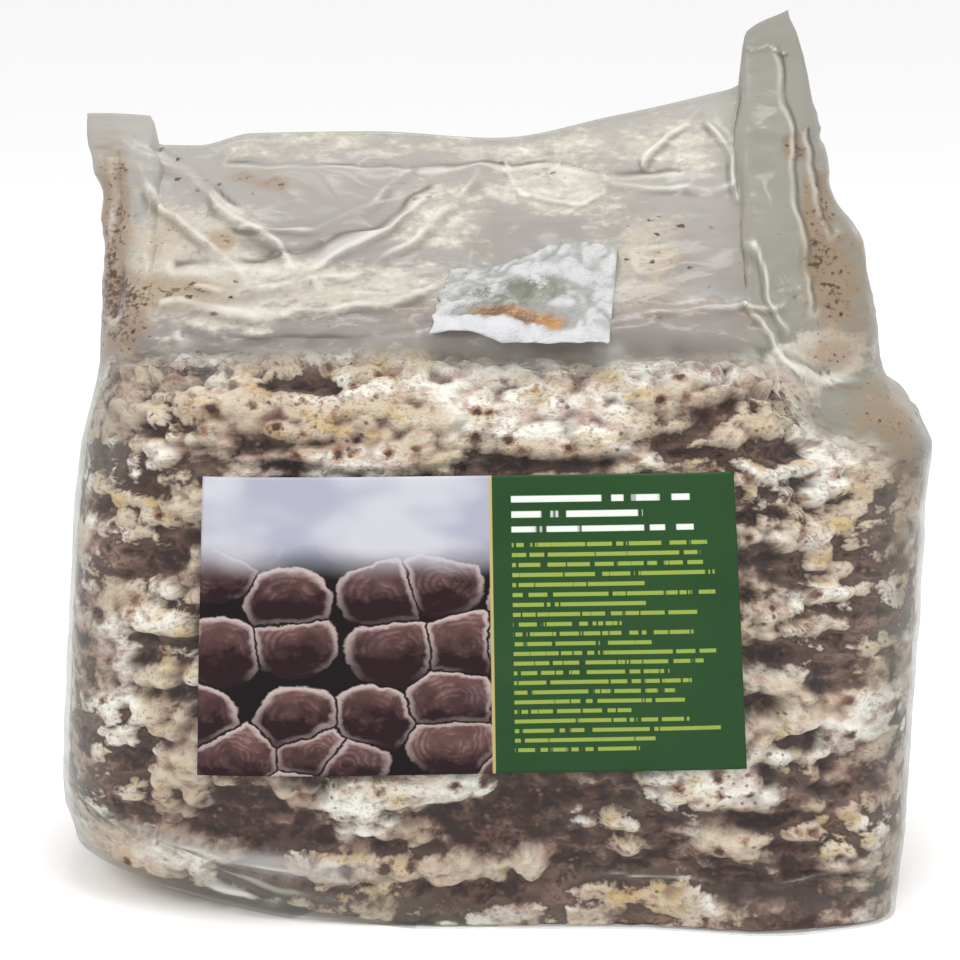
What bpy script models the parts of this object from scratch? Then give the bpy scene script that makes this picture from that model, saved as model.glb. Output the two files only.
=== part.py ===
# Shiitake grow block: a lump of sawdust grown through with mycelium, in a clear gusseted
# bag with a headspace, two gusset ears, a breathing patch and a printed label.
# The origin is on the base, under the middle of the block. X is to the right of the
# label, Y goes to the back and Z is up. The front of the bag faces -Y.

import math

import bmesh
import bpy
from mathutils import Vector, noise

MM = 0.001

# Film of the bag. The real film is thinner and is given a thickness that a solid can have.
FILM = 0.8 * MM
CLEARANCE = 0.45 * MM

# Half outlines: points across the front, from the left side to the right side.
BAG_SPANS = 26
BAG_BODY_LEVELS = 11
BAG_HEAD_LEVELS = 9
BLOCK_SPANS = 32
BLOCK_LEVELS = 31
BLOCK_TOP_RINGS = 4

# The bag round the block, read by the share of the shoulder's height.
BODY_LEFT = [(0.0, -128), (0.1, -131), (0.3, -129), (0.6, -126), (0.84, -122.5), (1.0, -116)]
BODY_RIGHT = [(0.0, 128), (0.2, 131), (0.5, 134.5), (0.85, 137), (0.96, 138.5), (1.0, 135)]
BODY_DEPTH = [(0.0, 69), (0.12, 73), (0.5, 75), (0.8, 71), (0.93, 66), (1.0, 58)]
BODY_SQUARE_LEFT = [(0.0, 2.7), (0.35, 4.0), (1.0, 4.0)]
BODY_SQUARE_RIGHT = [(0.0, 9.0), (0.35, 5.0), (1.0, 4.0)]

# The headspace, read by the share of the way from the shoulder to the top edge.
HEAD_LEFT = [(0.0, -116), (0.2, -115.5), (0.65, -116), (0.9, -120.5), (1.0, -120.5)]
HEAD_RIGHT = [(0.0, 135), (0.07, 126), (0.13, 122.5), (0.3, 120.5), (0.41, 117), (0.54, 107.5),
              (0.65, 103.5), (0.81, 99.5), (0.93, 95), (1.0, 91)]
HEAD_DEPTH = [(0.0, 58), (0.15, 49), (0.3, 40), (0.5, 27), (0.7, 14), (0.86, 5), (1.0, 1.8)]
HEAD_SQUARENESS = [(0.0, 4.0), (0.3, 3.0), (0.6, 2.9), (0.85, 4.0), (1.0, 6.0)]

# Heights across the bag, in mm from the left (-) to the right (+).
SHOULDER = [(-130, 163), (-100, 175), (-60, 178), (70, 178), (88, 171), (104, 151), (140, 146)]
TOP_EDGE = [(-122, 240), (-103, 240), (-98, 227), (-87, 228), (-70, 232), (-33, 233),
            (6, 230.5), (41, 237), (70, 244), (77, 247), (81, 262), (92, 270)]

# Where the side gussets end, as a share of the half outline and of the top edge.
GUSSET_SHARES = [(0.0, 0.0), (0.185, 0.06), (0.815, 0.91), (1.0, 1.0)]

# The front left corner of the base is folded up, and the film bulges at the front right.
FOLD_START = -20 * MM
FOLD_LENGTH = 108 * MM
FOLD_RISE = 14 * MM
FOLD_BACK = 60 * MM
FOLD_FADE = 80 * MM
BASE_SHARE = 0.92
BASE_DROP = 5 * MM
BULGE_X = 88 * MM
BULGE_WIDTH = 26 * MM
BULGE_OUT = 7 * MM

# The empty film of the headspace: how the closed edge wanders, and how it is crumpled.
RIDGE_WAVE = 3.5 * MM
RIDGE_PITCH = 22 * MM
CRUMPLE = 0.22
CRUMPLE_SIZE = 34 * MM

# The grown block: its height as a share of the shoulder's, how far its corners stay back
# from the film, the relief pressed into its sides, and its domed and lumpy top.
BLOCK_SHARE = 0.975
CORNER_GAP = 3.5 * MM
ROUND_OFF = 0.9
RELIEF = 7 * MM
RELIEF_MEAN = 0.36
FURROW_DEPTH = 2.2 * MM
FURROW_FROM_X = 60 * MM
FURROW_FADE = 30 * MM
BLOCK_DOME = 7 * MM
TOP_LUMPS = 3.5 * MM

# Label and breathing patch on the front, as left, right, bottom and top.
LABEL_BOX = (-80 * MM, 77 * MM, 52 * MM, 142 * MM)
LABEL_THICK = 0.5 * MM
PATCH_BOX = (-12 * MM, 39 * MM, 177 * MM, 201 * MM)
PATCH_THICK = 1.0 * MM
PATCH_RELIEF = 1.6 * MM


def read_curve(points, at):
    """Smooth reading of a list of (place, value) points."""
    if at <= points[0][0]:
        return points[0][1]
    if at >= points[-1][0]:
        return points[-1][1]
    k = 0
    while points[k + 1][0] < at:
        k += 1
    (x0, y0), (x1, y1) = points[k], points[k + 1]
    step = x1 - x0
    before = (y0 - points[k - 1][1]) / (x0 - points[k - 1][0]) if k > 0 else 0.0
    here = (y1 - y0) / step
    after = (points[k + 2][1] - y1) / (points[k + 2][0] - x1) if k + 2 < len(points) else 0.0
    start = 2 * before * here / (before + here) if before * here > 0 else 0.0
    end = 2 * here * after / (here + after) if here * after > 0 else 0.0
    t = (at - x0) / step
    return (
        y0 * (1 + 2 * t) * (1 - t) ** 2
        + y1 * t * t * (3 - 2 * t)
        + start * step * t * (1 - t) ** 2
        - end * step * t * t * (1 - t)
    )


def ease(t):
    t = min(max(t, 0.0), 1.0)
    return t * t * (3 - 2 * t)


def shoulder_height(x):
    return read_curve(SHOULDER, x / MM) * MM


def top_height(x):
    return read_curve(TOP_EDGE, x / MM) * MM


def level_sizes(level):
    """Left, right, half depth, and squareness on the left and on the right.

    Levels 0 to 1 are the block, and levels 1 to 2 are the headspace.
    """
    if level <= 1:
        tables = (BODY_LEFT, BODY_RIGHT, BODY_DEPTH, BODY_SQUARE_LEFT, BODY_SQUARE_RIGHT)
        at = level
    else:
        tables = (HEAD_LEFT, HEAD_RIGHT, HEAD_DEPTH, HEAD_SQUARENESS, HEAD_SQUARENESS)
        at = level - 1
    left, right, depth, square_left, square_right = (read_curve(t, at) for t in tables)
    return left * MM, right * MM, depth * MM, square_left, square_right


def half_outline(level, spans, inset=0.0, round_off=0.0):
    """Points from the left side to the right side, with y as the distance from the middle."""
    left, right, depth, square_left, square_right = level_sizes(level)
    left += inset
    right -= inset
    depth -= inset
    middle = (left + right) / 2
    half = (right - left) / 2
    fine = 240
    dense = []
    for k in range(fine + 1):
        angle = math.pi * (1 - k / fine)
        c, s = math.cos(angle), math.sin(angle)
        square = (square_left if c < 0 else square_right) - round_off
        x = middle + half * math.copysign(abs(c) ** (2 / square), c)
        dense.append((x, depth * max(s, 0.0) ** (2 / square)))
    run = [0.0]
    for a, b in zip(dense, dense[1:]):
        run.append(run[-1] + math.dist(a, b))
    points = []
    k = 0
    for i in range(spans + 1):
        goal = run[-1] * i / spans
        while k < fine - 1 and run[k + 1] < goal:
            k += 1
        t = (goal - run[k]) / (run[k + 1] - run[k])
        x = dense[k][0] + t * (dense[k + 1][0] - dense[k][0])
        y = dense[k][1] + t * (dense[k + 1][1] - dense[k][1])
        if level > 1:
            across = read_curve(GUSSET_SHARES, i / spans)
            folded_x = left + across * (right - left)
            reach = min(abs(folded_x - middle) / half, 1.0)
            folded_y = depth * (1 - reach ** square_left) ** (1 / square_left)
            share = ease((level - 1) / 0.75)
            x += share * (folded_x - x)
            y += share * (folded_y - y)
        points.append((x, y))
    points[0] = (left, 0.0)
    points[-1] = (right, 0.0)
    return points


def place(x, y, level):
    """A point of the form, with its height, the folded-up corner and the front bulge."""
    if level <= 1:
        z = level * shoulder_height(x)
        fold = min(max((FOLD_START - x) / FOLD_LENGTH, 0.0), 1.0) ** 1.1
        fold *= ease((FOLD_BACK - y) / FOLD_FADE)
        z += FOLD_RISE * fold * (1 - level) ** 3
        if y < 0:
            near = math.exp(-(((x - BULGE_X) / BULGE_WIDTH) ** 2))
            y -= BULGE_OUT * near * max(1 - level / 0.35, 0.0)
    else:
        low, high = shoulder_height(x), top_height(x)
        z = low + (level - 1) * (high - low)
        y += RIDGE_WAVE * math.sin(x / RIDGE_PITCH) * ease(level - 1)
        if level < 2:
            soft = noise.noise(Vector((x / CRUMPLE_SIZE, math.copysign(4.0, y), z / CRUMPLE_SIZE * 1.3)))
            y *= 1 + CRUMPLE * soft * math.sin(math.pi * (level - 1))
    return Vector((x, y, z))


def ring_points(level, spans, inset=0.0, round_off=0.0):
    """One closed loop, anticlockwise from above: along the front, then along the back."""
    half = half_outline(level, spans, inset, round_off)
    front = [place(x, -y, level) for x, y in half]
    back = [place(x, y, level) for x, y in half]
    return front + back[-2:0:-1]


def front_y(x, z):
    """Y of the bag's front at a place across it and a height."""
    low, high = shoulder_height(x), top_height(x)
    level = z / low if z <= low else 1 + (z - low) / (high - low)
    left, right, depth, square_left, square_right = level_sizes(level)
    middle = (left + right) / 2
    square = square_left if x < middle else square_right
    reach = min(abs(x - middle) / ((right - left) / 2), 1.0)
    return place(x, -depth * (1 - reach ** square) ** (1 / square), level).y


def material(name, colour, roughness, alpha=1.0):
    made = bpy.data.materials.new(name)
    made.use_nodes = True
    made.diffuse_color = (*colour, 1.0)
    shader = made.node_tree.nodes["Principled BSDF"]
    shader.inputs["Base Color"].default_value = (*colour, 1.0)
    shader.inputs["Roughness"].default_value = roughness
    shader.inputs["Metallic"].default_value = 0.0
    shader.inputs["Alpha"].default_value = alpha
    return made


def add_object(name, bm, finish):
    mesh = bpy.data.meshes.new(name)
    bm.to_mesh(mesh)
    bm.free()
    mesh.materials.append(finish)
    mesh.shade_smooth()
    mesh.set_sharp_from_angle(angle=math.radians(50))
    made = bpy.data.objects.new(name, mesh)
    bpy.context.scene.collection.objects.link(made)
    return made


def join_rings(bm, low, high):
    count = len(low)
    for k in range(count):
        bm.faces.new((low[k], low[(k + 1) % count], high[(k + 1) % count], high[k]))


def close_to_point(bm, ring, middle, upwards):
    pole = bm.verts.new(middle)
    for k, a in enumerate(ring):
        b = ring[(k + 1) % len(ring)]
        bm.faces.new((a, b, pole) if upwards else (b, a, pole))


def make_bag():
    """The film as one lofted skin with its window left open, thickened inwards."""
    bm = bmesh.new()
    levels = [k / BAG_BODY_LEVELS for k in range(BAG_BODY_LEVELS + 1)]
    levels += [1 + (k + 1) / BAG_HEAD_LEVELS for k in range(BAG_HEAD_LEVELS)]
    rings = [[bm.verts.new(p) for p in ring_points(at, BAG_SPANS)] for at in levels]
    for low, high in zip(rings, rings[1:]):
        join_rings(bm, low, high)

    # The base: one ring inside its edge, then a flat fan.
    inner = []
    for vert in rings[0]:
        p = vert.co
        height = max(p.z - BASE_DROP, 0.0)
        inner.append(bm.verts.new((p.x * BASE_SHARE, p.y * BASE_SHARE, height)))
    join_rings(bm, inner, rings[0])
    close_to_point(bm, inner, (0.0, 0.0, 0.0), upwards=False)

    # The top edge: the front and back meet in a narrow strip.
    top = rings[-1]
    count = len(top)
    for k in range(1, BAG_SPANS - 1):
        bm.faces.new((top[k], top[k + 1], top[count - k - 1], top[count - k]))
    bm.faces.new((top[0], top[1], top[count - 1]))
    bm.faces.new((top[BAG_SPANS - 1], top[BAG_SPANS], top[BAG_SPANS + 1]))

    # The breather window lies under the middle of the patch.
    left, right, low, high = PATCH_BOX
    aim = Vector(((left + right) / 2, front_y((left + right) / 2, (low + high) / 2), (low + high) / 2))
    window = min(bm.faces, key=lambda face: (face.calc_center_median() - aim).length)
    bmesh.ops.delete(bm, geom=[window], context="FACES_ONLY")

    bag = add_object("bag", bm, material("clear_film", (0.62, 0.60, 0.54), 0.18, 0.45))
    wall = bag.modifiers.new("film_wall", "SOLIDIFY")
    wall.thickness = FILM
    wall.offset = -1.0
    wall.use_even_offset = True
    return bag


def at_scale(p, wide, high, shift=0.0):
    """A place for the noise, measured in patches that are so wide and so high."""
    return Vector((p.x / wide + shift, p.y / wide, p.z / high))


def grown_relief(p):
    """How far the grown surface lies inside the film at a point: ledges, nodules and pits."""
    ledge = noise.noise(at_scale(p, 60 * MM, 15 * MM))
    nodule = 0.5 - noise.voronoi(at_scale(p, 30 * MM, 19 * MM))[0][0]
    pit = max(noise.noise(at_scale(p, 20 * MM, 12 * MM, shift=5.0)) - 0.15, 0.0)
    depth = RELIEF_MEAN + 0.5 * ledge - 0.7 * nodule + 1.2 * pit
    return RELIEF * min(max(depth, 0.0), 1.0)


def make_block():
    """The grown lump: rows of a rounded box pressed in from the film, closed by a lumpy top."""
    bm = bmesh.new()
    margin = FILM + CLEARANCE
    rows = []
    for k in range(BLOCK_LEVELS + 1):
        share = k / BLOCK_LEVELS
        squeeze = CORNER_GAP * (1 - math.sin(math.pi * (0.08 + 0.84 * share)))
        row = []
        for p in ring_points(BLOCK_SHARE * share, BLOCK_SPANS, margin + squeeze, ROUND_OFF):
            inwards = grown_relief(p)
            if k % 2:
                inwards += FURROW_DEPTH * ease((p.x - FURROW_FROM_X) / FURROW_FADE)
            p -= Vector((p.x, p.y, 0.0)).normalized() * inwards
            p.z += margin * (1 - share)
            row.append(bm.verts.new(p))
        rows.append(row)
    for low, high in zip(rows, rows[1:]):
        join_rings(bm, low, high)
    close_to_point(bm, rows[0], (0.0, 0.0, margin), upwards=False)

    edge = [vert.co.copy() for vert in rows[-1]]
    last = rows[-1]
    for k in range(1, BLOCK_TOP_RINGS + 1):
        share = 1 - k / (BLOCK_TOP_RINGS + 1)
        ring = []
        for p in edge:
            x, y = p.x * share, p.y * share
            lump = noise.noise(at_scale(Vector((x, y, 0.0)), 22 * MM, 1.0, shift=3.0))
            rise = BLOCK_DOME * (1 - share * share) + TOP_LUMPS * lump
            ring.append(bm.verts.new((x, y, BLOCK_SHARE * shoulder_height(x) + rise)))
        join_rings(bm, last, ring)
        last = ring
    peak = BLOCK_SHARE * shoulder_height(0.0) + BLOCK_DOME
    close_to_point(bm, last, (0.0, 0.0, peak), upwards=True)
    return add_object("mycelium_block", bm, material("grown_sawdust", (0.42, 0.32, 0.22), 0.9))


def make_sheet(name, box, columns, rows, lift, thick, finish, relief=None):
    """A closed thin sheet that lies on the front of the bag."""
    bm = bmesh.new()
    left, right, low, high = box
    back, face = [], []
    for r in range(rows + 1):
        for c in range(columns + 1):
            x = left + (right - left) * c / columns
            z = low + (high - low) * r / rows
            small = 1 * MM
            here = Vector((x, front_y(x, z), z))
            across = Vector((x + small, front_y(x + small, z), z)) - here
            up = Vector((x, front_y(x, z + small), z + small)) - here
            out = across.cross(up).normalized()
            raised = relief(c / columns, r / rows) if relief else 0.0
            back.append(bm.verts.new(here + out * (lift + raised)))
            face.append(bm.verts.new(here + out * (lift + raised + thick)))
    wide = columns + 1
    for r in range(rows):
        for c in range(columns):
            k = r * wide + c
            bm.faces.new((face[k], face[k + 1], face[k + wide + 1], face[k + wide]))
            bm.faces.new((back[k], back[k + wide], back[k + wide + 1], back[k + 1]))
    rim = list(range(columns))
    rim += [columns + wide * r for r in range(rows)]
    rim += [rows * wide + columns - c for c in range(columns)]
    rim += [wide * (rows - r) for r in range(rows)]
    for a, b in zip(rim, rim[1:] + rim[:1]):
        bm.faces.new((back[a], back[b], face[b], face[a]))
    return add_object(name, bm, finish)


def make_label():
    paper = material("printed_label", (0.16, 0.24, 0.15), 0.4)
    return make_sheet("label", LABEL_BOX, 12, 5, 0.35 * MM, LABEL_THICK, paper)


def patch_relief(across, up):
    """Soft crumples of the patch, which is held down along its edges."""
    held = math.sin(math.pi * across) * math.sin(math.pi * up)
    return PATCH_RELIEF * held * (1 + noise.noise(Vector((across * 5, up * 4, 1.0))))


def make_patch():
    fleece = material("fleece", (0.82, 0.80, 0.74), 0.9)
    return make_sheet("filter_patch", PATCH_BOX, 10, 6, 0.6 * MM, PATCH_THICK, fleece, patch_relief)


def main():
    for old in list(bpy.data.objects):
        bpy.data.objects.remove(old)
    make_bag()
    make_block()
    make_label()
    make_patch()


main()
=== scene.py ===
# %% [markdown]
# # A shiitake grow block in its bag
# A grow block is moist sawdust that mycelium has grown through, until it holds together
# like a loaf. It stays in the clear gusseted bag it grew in. The bag has an empty
# headspace with two ears, a breathing patch of fleece and a printed label.
# The solids of the part are loaded first, as a fixed frame. Everything after that is
# the finish: the crumbly grown surface, the creased film, the fleece and the label.

# %% Load the frame
import math

import bpy
import numpy as np
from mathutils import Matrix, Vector, noise


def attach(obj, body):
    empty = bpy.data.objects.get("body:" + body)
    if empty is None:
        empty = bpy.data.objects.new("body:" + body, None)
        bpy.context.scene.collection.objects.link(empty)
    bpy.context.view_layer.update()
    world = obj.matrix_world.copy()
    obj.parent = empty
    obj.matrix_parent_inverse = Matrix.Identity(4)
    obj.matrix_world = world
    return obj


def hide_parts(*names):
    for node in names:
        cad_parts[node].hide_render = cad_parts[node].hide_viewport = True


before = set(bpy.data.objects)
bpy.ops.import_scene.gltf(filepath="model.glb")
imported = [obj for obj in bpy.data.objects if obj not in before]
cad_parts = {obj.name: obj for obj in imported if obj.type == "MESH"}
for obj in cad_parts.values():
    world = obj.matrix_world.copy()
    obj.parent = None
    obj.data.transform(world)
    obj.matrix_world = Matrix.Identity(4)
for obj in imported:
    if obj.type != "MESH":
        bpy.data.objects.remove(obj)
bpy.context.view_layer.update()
MM = 0.001

# %% [markdown]
# ## Studio
# The photograph looks a little down on the block from the front, from far enough that
# the sides hardly converge. A plain pale floor and large soft lamps give the even light
# that shows a clear film best: film is seen by what it mirrors, so the lamps are wide.

# %% Camera, floor and lamps
CAMERA_TILT = math.radians(12)
CAMERA_AWAY = 1.1
CAMERA_AIM = Vector((0, 0, 0.1235))
SENSOR = 36.0
PICTURE_PX = 960
MM_PER_PX = 0.313 * MM

camera_data = bpy.data.cameras.new("camera")
camera_data.sensor_width = SENSOR
camera_data.lens = SENSOR * CAMERA_AWAY / MM_PER_PX / PICTURE_PX
camera = bpy.data.objects.new("camera", camera_data)
away = Vector((0, -math.cos(CAMERA_TILT), math.sin(CAMERA_TILT))) * CAMERA_AWAY
camera.location = CAMERA_AIM + away
camera.rotation_euler = (-away).to_track_quat("-Z", "Y").to_euler()
bpy.context.scene.collection.objects.link(camera)
bpy.context.scene.camera = camera
bpy.context.scene.view_settings.view_transform = "Standard"
print("lens", round(camera_data.lens, 1), "mm")

LAMPS = {
    "key": ((-0.70, -0.85, 1.05), 0.5, 5.5),
    "fill": ((0.95, -0.8, 0.5), 0.9, 2.0),
    "top": ((0.15, -0.42, 1.40), 0.5, 9.0),
}


def add_lamp(name, place, width, power):
    """A square soft lamp that looks at the middle of the block."""
    data = bpy.data.lights.new(name, "AREA")
    data.size = width
    data.energy = power
    lamp = bpy.data.objects.new(name, data)
    lamp.location = place
    lamp.rotation_euler = (CAMERA_AIM - Vector(place)).to_track_quat("-Z", "Y").to_euler()
    bpy.context.scene.collection.objects.link(lamp)


for name, (place, width, power) in LAMPS.items():
    add_lamp(name, place, width, power)

world = bpy.data.worlds.new("studio")
world.use_nodes = True
world.node_tree.nodes["Background"].inputs["Color"].default_value = (1.0, 1.0, 1.0, 1.0)
world.node_tree.nodes["Background"].inputs["Strength"].default_value = 1.0
bpy.context.scene.world = world

# %% [markdown]
# ## Sums written as sums
# The relief of the block and its colours follow one rule, which is built as geometry
# nodes. They move the points and keep what the colours need, and shader nodes read it and
# add what is finer. This small class wraps a socket, so that ordinary Python sums on it
# add the Math nodes. One function adds every other kind of node.

# %% Wrap the sockets
class Wire:
    """A socket of a node tree. Python's operators on it add Math nodes."""

    def __init__(self, tree, socket):
        self.tree = tree
        self.socket = socket

    def math(self, operation, *others):
        return add_node(self.tree, "ShaderNodeMath", {"operation": operation},
                        dict(enumerate((self, *others))))

    def __add__(self, other):
        return self.math("ADD", other)

    def __sub__(self, other):
        return self.math("SUBTRACT", other)

    def __rsub__(self, other):
        return self.lift(other).math("SUBTRACT", self)

    def __mul__(self, other):
        return self.math("MULTIPLY", other)

    def __truediv__(self, other):
        return self.math("DIVIDE", other)

    def __pow__(self, other):
        return self.math("POWER", other)

    def __neg__(self):
        return self.math("MULTIPLY", -1.0)

    __radd__ = __add__
    __rmul__ = __mul__

    def lift(self, number):
        """A plain number as a wire, for sums that begin with the number."""
        return add_node(self.tree, "ShaderNodeMath", {"operation": "ADD"}, {0: number, 1: 0.0})

    def clamp(self):
        return add_node(self.tree, "ShaderNodeClamp", {}, {"Value": self})

    def between(self, low, high):
        """0 below low, 1 above high, and a smooth step between. Low may be above high."""
        flip = low > high
        step = add_node(self.tree, "ShaderNodeMapRange", {"interpolation_type": "SMOOTHSTEP"},
                        {"Value": self, "From Min": min(low, high), "From Max": max(low, high)})
        return 1.0 - step if flip else step

    def most(self, other):
        return self.math("MAXIMUM", other)

    def least(self, other):
        return self.math("MINIMUM", other)


def find_socket(sockets, name):
    """A socket by its number, or the one in use with that name."""
    if isinstance(name, int):
        return sockets[name]
    return next(s for s in sockets if s.name == name and s.enabled)


def add_node(tree, kind, settings, values, out=0):
    """Adds any node: first its settings, then the values or wires of its sockets."""
    node = tree.nodes.new(kind)
    for name, setting in settings.items():
        setattr(node, name, setting)
    for name, value in values.items():
        socket = find_socket(node.inputs, name)
        if isinstance(value, Wire):
            tree.links.new(value.socket, socket)
        else:
            socket.default_value = value
    return Wire(tree, find_socket(node.outputs, out)) if node.outputs else node


def scaled(place, wide, high, shift=0.0):
    """A place measured in patches of a width and a height in mm, moved by a shift."""
    stretch = (1 / (wide * MM), 1 / (wide * MM), 1 / (high * MM))
    moved = add_node(place.tree, "ShaderNodeVectorMath", {"operation": "MULTIPLY"},
                     {0: place, 1: stretch})
    return add_node(place.tree, "ShaderNodeVectorMath", {"operation": "ADD"},
                    {0: moved, 1: (shift, shift * 0.7, shift * 1.3)})


def cloud(place, wide, high, detail=2.0, shift=0.0, rough=0.5, twist=0.0):
    """Soft noise from 0 to 1 with patches of a width and a height in mm."""
    return add_node(place.tree, "ShaderNodeTexNoise", {},
                    {"Vector": scaled(place, wide, high, shift), "Scale": 1.0, "Detail": detail,
                     "Roughness": rough, "Distortion": twist})


def cells(place, wide, high, shift=0.0, feature="F1", soft=0.0):
    """Distance to the nearest of scattered points, in cells of a width and a height in mm."""
    values = {"Vector": scaled(place, wide, high, shift), "Scale": 1.0}
    if feature == "SMOOTH_F1":
        values["Smoothness"] = soft
    return add_node(place.tree, "ShaderNodeTexVoronoi", {"feature": feature}, values,
                    out="Distance")


def blend(factor, first, second):
    """A colour between two colours, or wires of colours."""
    values = {"Factor": factor}
    for name, colour in (("A", first), ("B", second)):
        values[name] = colour if isinstance(colour, Wire) else (*colour, 1.0)
    return add_node(factor.tree, "ShaderNodeMix", {"data_type": "RGBA"}, values, out="Result")


def layered(colour, *layers):
    """A colour with others laid over it in turn, each given as (how much, colour)."""
    for factor, over in layers:
        colour = blend(factor, colour, over)
    return colour


def parts_of(vector):
    """X, Y and Z of a vector, as three wires."""
    node = vector.tree.nodes.new("ShaderNodeSeparateXYZ")
    vector.tree.links.new(vector.socket, node.inputs[0])
    return [Wire(vector.tree, s) for s in node.outputs]


def kept_on_points(tree, name, out="Vector"):
    """What an attribute keeps on the points of the piece."""
    return add_node(tree, "ShaderNodeAttribute", {"attribute_name": name}, {}, out=out)


def bumped(height, strength, deep):
    """A normal tilted by a height in the tree, as deep as that many mm."""
    return add_node(height.tree, "ShaderNodeBump", {},
                    {"Strength": strength, "Distance": deep * MM, "Height": height}, out="Normal")


def surface(tree, colour, rough, **more):
    """A Principled surface. An underscore in a keyword stands for a space."""
    values = {"Base Color": colour, "Roughness": rough}
    values.update({name.replace("_", " "): value for name, value in more.items()})
    return add_node(tree, "ShaderNodeBsdfPrincipled", {}, values)


def new_material(name):
    """A material and its empty tree."""
    made = bpy.data.materials.new(name)
    made.use_nodes = True
    made.node_tree.nodes.clear()
    return made, made.node_tree


def close_material(made, shader):
    """Ends the tree of a material with its shader."""
    output = shader.tree.nodes.new("ShaderNodeOutputMaterial")
    shader.tree.links.new(shader.socket, output.inputs["Surface"])
    return made


# %% [markdown]
# ## The form of the bag
# A full gusseted bag is a rounded box that closes to a line at the top. It is described
# by horizontal outlines: their left and right ends, their depth and how square they are.
# These are the driving sizes of the solids too, so the fine film lies where the plain
# one does. The tables are read by a smooth curve, and the outlines are walked at even
# steps, so that the same tables can be read at any fineness.

# %% Sizes of the bag
BODY_LEFT = [(0.0, -128), (0.1, -131), (0.3, -129), (0.6, -126), (0.84, -122.5), (1.0, -116)]
BODY_RIGHT = [(0.0, 128), (0.2, 131), (0.5, 134.5), (0.85, 137), (0.96, 138.5), (1.0, 135)]
BODY_DEPTH = [(0.0, 69), (0.12, 73), (0.5, 75), (0.8, 71), (0.93, 66), (1.0, 58)]
BODY_SQUARE_LEFT = [(0.0, 2.7), (0.35, 4.0), (1.0, 4.0)]
BODY_SQUARE_RIGHT = [(0.0, 9.0), (0.35, 5.0), (1.0, 4.0)]
HEAD_LEFT = [(0.0, -116), (0.2, -115.5), (0.65, -116), (0.9, -120.5), (1.0, -120.5)]
HEAD_RIGHT = [(0.0, 135), (0.07, 126), (0.13, 122.5), (0.3, 120.5), (0.41, 117), (0.54, 107.5),
              (0.65, 103.5), (0.81, 99.5), (0.93, 95.5), (1.0, 93.5)]
HEAD_DEPTH = [(0.0, 58), (0.15, 49), (0.3, 40), (0.5, 27), (0.7, 14), (0.86, 5), (1.0, 1.8)]
HEAD_SQUARENESS = [(0.0, 4.0), (0.3, 3.0), (0.6, 2.9), (0.85, 4.0), (1.0, 6.0)]
SHOULDER = [(-130, 163), (-100, 175), (-60, 178), (70, 178), (88, 171), (104, 151), (140, 146)]
TOP_EDGE = [(-122, 238), (-101, 237), (-98.5, 228), (-87, 228), (-70, 232), (-33, 233),
            (6, 230.5), (41, 237), (70, 244), (79, 247), (80.5, 262.5), (93, 269.7), (97, 272)]
GUSSET_SHARES = [(0.0, 0.0), (0.185, 0.06), (0.815, 0.91), (1.0, 1.0)]
FOLD_START, FOLD_LENGTH, FOLD_RISE = -20, 108, 14
FOLD_BACK, FOLD_FADE = 60, 80
BULGE_X, BULGE_WIDTH, BULGE_OUT = 88, 26, 7
RIDGE_WAVE, RIDGE_PITCH = 3.5, 22
CRUMPLE, CRUMPLE_SIZE = 0.22, 34
OUTLINE_STEPS = 1200


def read_curve(points, at):
    """Smooth reading of (place, value) points at one place or at an array of them."""
    place, value = np.array(points, float).T
    slope = np.diff(value) / np.diff(place)
    tangent = np.zeros(len(place))
    same = slope[:-1] * slope[1:] > 0
    both = np.where(same, slope[:-1] + slope[1:], 1.0)
    tangent[1:-1] = np.where(same, 2 * slope[:-1] * slope[1:] / both, 0.0)
    at = np.clip(at, place[0], place[-1])
    k = np.clip(np.searchsorted(place, at, side="right") - 1, 0, len(place) - 2)
    step = place[k + 1] - place[k]
    t = (at - place[k]) / step
    return (value[k] * (1 + 2 * t) * (1 - t) ** 2 + value[k + 1] * t * t * (3 - 2 * t)
            + tangent[k] * step * t * (1 - t) ** 2 - tangent[k + 1] * step * t * t * (1 - t))


def ease(t):
    t = np.clip(t, 0.0, 1.0)
    return t * t * (3 - 2 * t)


def level_sizes(level):
    """Left, right, half depth and the two squarenesses. Levels 1 to 2 are the headspace."""
    if level <= 1:
        tables = (BODY_LEFT, BODY_RIGHT, BODY_DEPTH, BODY_SQUARE_LEFT, BODY_SQUARE_RIGHT)
        at = level
    else:
        tables = (HEAD_LEFT, HEAD_RIGHT, HEAD_DEPTH, HEAD_SQUARENESS, HEAD_SQUARENESS)
        at = level - 1
    return [float(read_curve(table, at)) for table in tables]


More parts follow.
